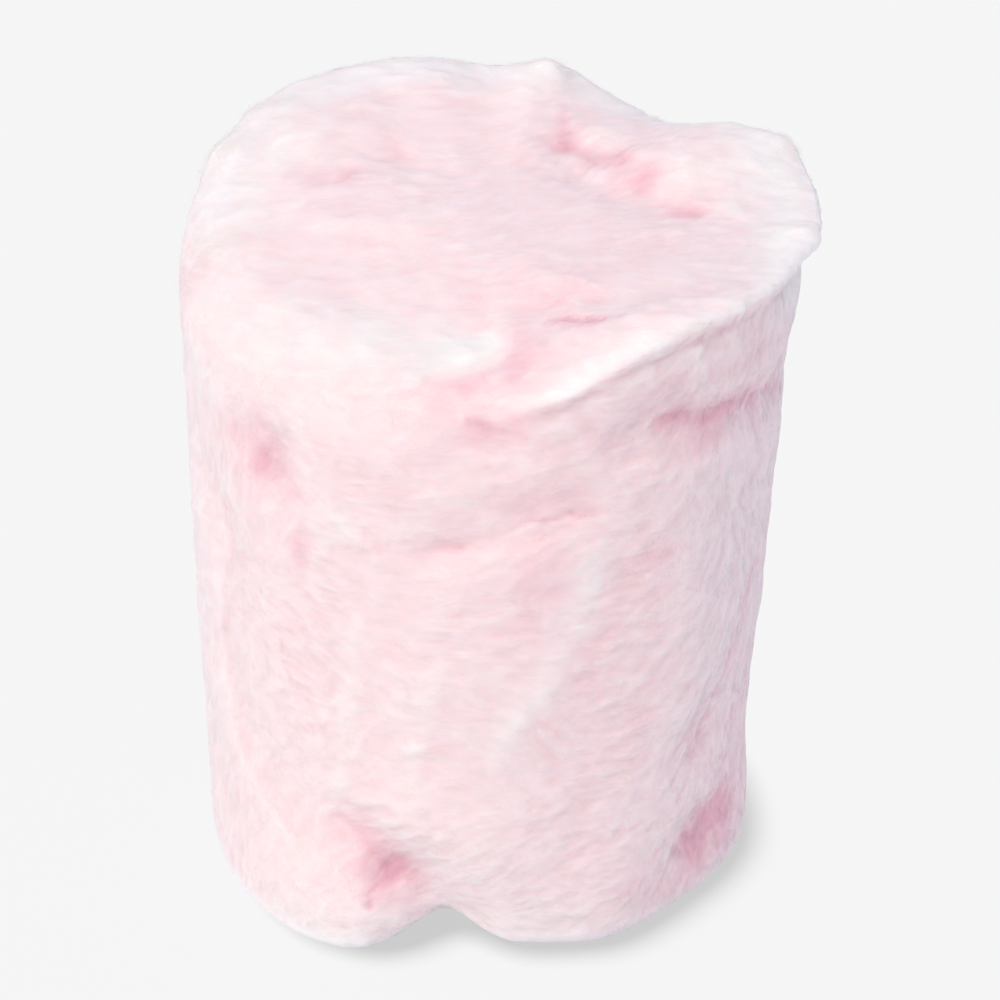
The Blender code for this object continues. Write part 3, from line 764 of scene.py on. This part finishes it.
def lay_fibres(name, among, count, length, radius, lift, jitter, seed, turn=0.0, pale=0.04, glow=0.0):
    """Fibres that start at some of the mesh's points and feel their way along the grain."""
    roots = root_draw.choice(among, count, replace=False)
    draw = np.random.default_rng(seed)
    place = points[roots] + draw.normal(0.0, 0.5 * VOXEL, (count, 3))
    step = draw.uniform(*length, count) / (FIBRE_RINGS + 1)
    heading = turn + draw.normal(0.0, jitter, count)
    bend = draw.normal(0.0, 0.2, count)
    rise = draw.uniform(*lift, count)
    corner = roots.copy()
    paths = []
    skins = []
    looks = []
    for stop in range(FIBRE_STOPS):
        landed = np.empty_like(place)
        for index, above in enumerate(place):
            hit, _, face, _ = block_skin.find_nearest(above)
            landed[index] = hit
            corner[index] = quads[face, 0]
        height = rise * math.sin(math.pi * stop / (FIBRE_RINGS + 1)) - FIBRE_SINK
        paths.append(landed + facing[corner] * height[:, None])
        skins.append(facing[corner])
        looks.append(np.stack([tint[corner], painted_lilac[corner]], axis=1))
        aim = heading + bend * stop
        ahead = grain[corner] * np.cos(aim)[:, None] + cross_grain[corner] * np.sin(aim)[:, None]
        place = landed + ahead * step[:, None]
    paths, skins, looks = (np.stack(steps, axis=1) for steps in (paths, skins, looks))
    # A fibre that would have to bend over a sharp edge breaks off, so it is left out.
    whole = (skins[:, 1:] * skins[:, :-1]).sum(axis=2).min(axis=1) > SHARPEST_BEND
    paths, skins, looks, roots = paths[whole], skins[whole], looks[whole], roots[whole]
    count = len(roots)
    skins = unit(skins + skins.mean(axis=1, keepdims=True))
    paths[..., 2] = np.maximum(paths[..., 2], FIBRE_FLOOR)
    piece, each = fibre_mesh(name, paths, skins, draw.uniform(*radius, count), glow)
    looks[..., 0] += (draw.normal(0.0, 0.02, count) - pale)[:, None]
    body = np.repeat(looks[:, 1:-1], FIBRE_SIDES, axis=1)
    looks = np.concatenate([looks[:, :1], body, looks[:, -1:]], axis=1).reshape(-1, 2)
    shift = np.repeat((felt_place - points * MM)[roots], each, axis=0)
    store_looks(piece, looks[:, 0], looks[:, 1], mesh_points(piece) * MM + shift)
    return piece


def thread_material():
    """One thread's sugar, in the colours of the floss round it."""
    material, start = new_material("sugar threads")
    finish_material(start.node("ShaderNodeBsdfPrincipled", {}, {
        **DRY_SUGAR, "Base Color": floss_colour(start)}))
    return material


# Fibres lie matted on the wall and the top.  Fuzz stands up where the rim is thin and along
# proud edges, and a few wisps where it was torn: at the left, at the back left and at its tip.
FIBRES_FROM = 0.6  # no fibre starts below this height
WISP_PLACES = np.array([(-50.6, 21.0), (-43.4, 31.3), (8.6, 45.3), (52.0, 22.0), (-57.0, -6.0)])
WISP_REACH = 4.5
looks_up = facing[:, 2] > 0.2
wall = np.flatnonzero((z > FIBRES_FROM) & (topness <= 0.5))
top = np.flatnonzero(topness > 0.5)
edges = np.flatnonzero(looks_up & ((back_rim > 0.3) | (hollow < -0.35)) & (lip_gap > 8.0))
wisp_gap = np.min(np.linalg.norm(points[:, None, :2] - WISP_PLACES, axis=2), axis=1)
wisp_roots = np.flatnonzero(looks_up & (wisp_gap < WISP_REACH))
LYING = dict(radius=(0.025, 0.065), lift=(0.02, 0.07))
FIBRE_LAYERS = {
    "wall_fibres_drawn": dict(LYING, among=wall, count=10000, length=(4.0, 9.0), jitter=0.35),
    "wall_fibres_crossed": dict(LYING, among=wall, count=10000, length=(3.0, 8.0), turn=0.5, jitter=0.6),
    "wall_fibres_matted": dict(LYING, among=wall, count=9000, length=(2.5, 6.0), jitter=1.0),
    "top_fibres": dict(LYING, among=top, count=8000, length=(2.0, 5.5), jitter=0.45),
    "edge_fuzz": dict(among=edges, count=3500, length=(1.5, 4.5), radius=(0.02, 0.035),
                      lift=(0.1, 0.6), jitter=1.3, pale=0.3, glow=0.8),
    "wisps": dict(among=wisp_roots, count=500, length=(3.0, 8.0), radius=(0.02, 0.035),
                  lift=(0.3, 1.2), jitter=0.8, pale=0.4, glow=0.9),
}
sugar_thread = thread_material()
root_draw = np.random.default_rng(77)
threads = []
for seed, (name, layer) in enumerate(FIBRE_LAYERS.items(), 100):
    fibres = lay_fibres(name, seed=seed, **layer)
    fibres.data.materials.append(sugar_thread)
    fibres.visible_shadow = False  # light passes through a thread
    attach(fibres, "root")
    threads.append(fibres)


# ---- Floor, light and camera -----------------------------------------------------------------
# A white studio table, lit softly from the left, with the block seen from above its front.  The
# table glows a little, as a backlit sheet of plastic does, so it stays an even white.
FLOOR_SIZE = 6000.0
FOOT_SHADE_HEIGHT = 8.0
FOOT_SHADE_SCALE = 0.97  # so it stays hidden inside the floss
CAMERA_TILT = math.radians(33.0)
CAMERA_DISTANCE = 0.85
CAMERA_LENS = 163.7
AIM_HEIGHT = 0.07

table_corners = FLOOR_SIZE / 2 * np.array([(-1, -1, 0), (1, -1, 0), (1, 1, 0), (-1, 1, 0)])
floor = solid_mesh("floor", table_corners, np.array([(0, 1, 2, 3)]))
floor_material, start = new_material("white table")
finish_material(start.node("ShaderNodeBsdfPrincipled", {}, {
    "Base Color": (0.05, 0.05, 0.05, 1.0), "Roughness": 0.9, "Specular IOR Level": 0.0,
    "Emission Color": (1.0, 1.0, 1.0, 1.0), "Emission Strength": 0.58}))
floor.data.materials.append(floor_material)

world = bpy.data.worlds.new("studio")
world.use_nodes = True
bpy.context.scene.world = world
background = world.node_tree.nodes["Background"]
background.inputs["Color"].default_value = (0.93, 0.91, 1.10, 1.0)
background.inputs["Strength"].default_value = 0.597


def sun(name, strength, colour, softness, elevation, azimuth):
    """A far light: it stands at an azimuth and elevation, and softness is its width in degrees."""
    data = bpy.data.lights.new(name, "SUN")
    data.energy = strength
    data.color = colour
    data.angle = math.radians(softness)
    light = bpy.data.objects.new(name, data)
    light.rotation_euler = (math.radians(90.0 - elevation), 0.0, math.radians(azimuth))
    bpy.context.scene.collection.objects.link(light)
    return light


key_light = sun("key", strength=1.88, colour=(0.985, 0.942, 0.765), softness=45.0, elevation=51.0,
                azimuth=-31.0)
sugar = bpy.data.collections.new("lit by the key")
for piece in [block, *threads]:
    sugar.objects.link(piece)
key_light.light_linking.receiver_collection = sugar

# The table's own light comes from behind at the left, and only the block's foot shades it.
foot = bmesh.new()
foot.from_mesh(cad_block.data)
bmesh.ops.bisect_plane(foot, geom=[*foot.verts, *foot.edges, *foot.faces], clear_outer=True,
                       plane_co=(0.0, 0.0, FOOT_SHADE_HEIGHT * MM), plane_no=(0.0, 0.0, 1.0))
foot_data = bpy.data.meshes.new("foot_shade")
foot.to_mesh(foot_data)
foot.free()
foot_shade = bpy.data.objects.new("foot_shade", foot_data)
foot_shade.scale = (FOOT_SHADE_SCALE, FOOT_SHADE_SCALE, 1.0)
bpy.context.scene.collection.objects.link(foot_shade)
table_light = sun("table light", strength=22.4, colour=(1.0, 1.0, 1.0), softness=40.0, elevation=60.0,
                  azimuth=-124.0)
for name, pieces, use in (("lit by the table light", [floor], "receiver_collection"),
                          ("shading the table", [foot_shade], "blocker_collection")):
    linked = bpy.data.collections.new(name)
    for piece in pieces:
        linked.objects.link(piece)
    setattr(table_light.light_linking, use, linked)

camera_data = bpy.data.cameras.new("camera")
camera_data.sensor_width = 36.0
camera_data.lens = CAMERA_LENS
camera = bpy.data.objects.new("camera", camera_data)
aim = Vector((0.0, 0.0, AIM_HEIGHT))
camera.location = aim + CAMERA_DISTANCE * Vector((0.0, -math.cos(CAMERA_TILT), math.sin(CAMERA_TILT)))
camera.rotation_euler = (math.pi / 2 - CAMERA_TILT, 0.0, 0.0)
bpy.context.scene.collection.objects.link(camera)
bpy.context.scene.camera = camera
bpy.context.scene.view_settings.view_transform = "Standard"
